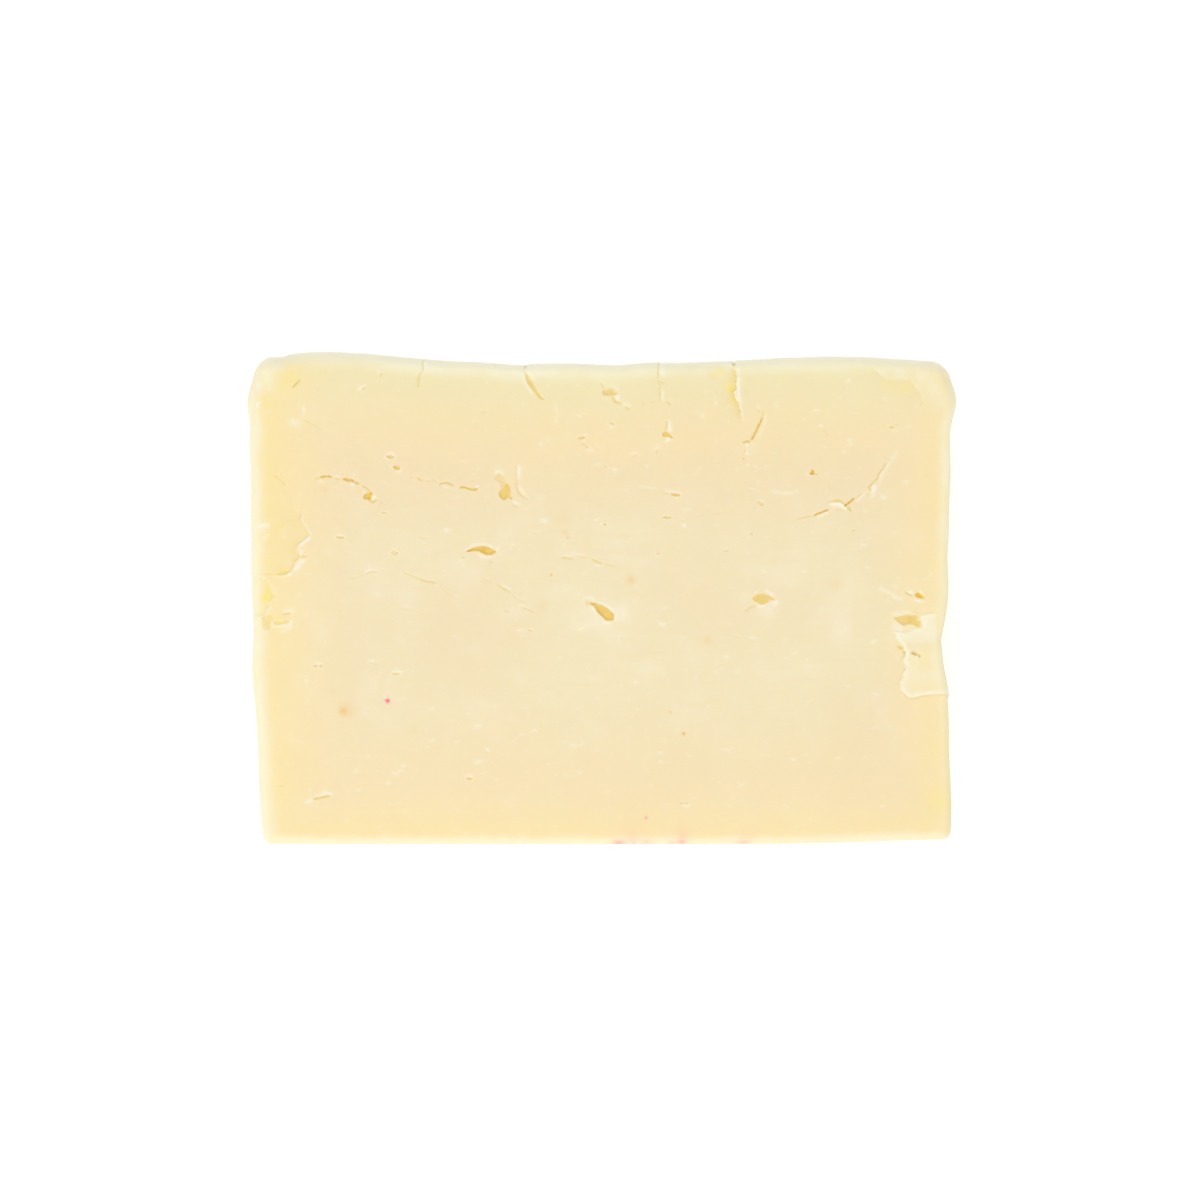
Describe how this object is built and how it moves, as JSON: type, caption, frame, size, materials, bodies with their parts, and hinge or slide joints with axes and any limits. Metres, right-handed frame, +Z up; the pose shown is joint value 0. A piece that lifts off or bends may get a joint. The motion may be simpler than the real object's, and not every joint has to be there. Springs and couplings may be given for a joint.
{
  "type": "provolone cheese",
  "caption": "Block of pale provolone cheese cut from a loaf, with soft rounded back edge, small eyes, fine cracks and a torn, chipped edge; rests flat.",
  "frame": {"origin": "middle of the underside, on the surface that the block rests on", "axes": "+X along the block's length, +Y across it towards its soft rounded side, +Z up, out of the cut face"},
  "size_m": [0.1014, 0.0704, 0.0303],
  "materials": {
    "cheese": "pale cream yellow, slightly waxy and translucent, golden inside its eyes and cracks"
  },
  "bodies": {
    "root": {"provolone_block": "cheese"}
  },
  "joints": []
}
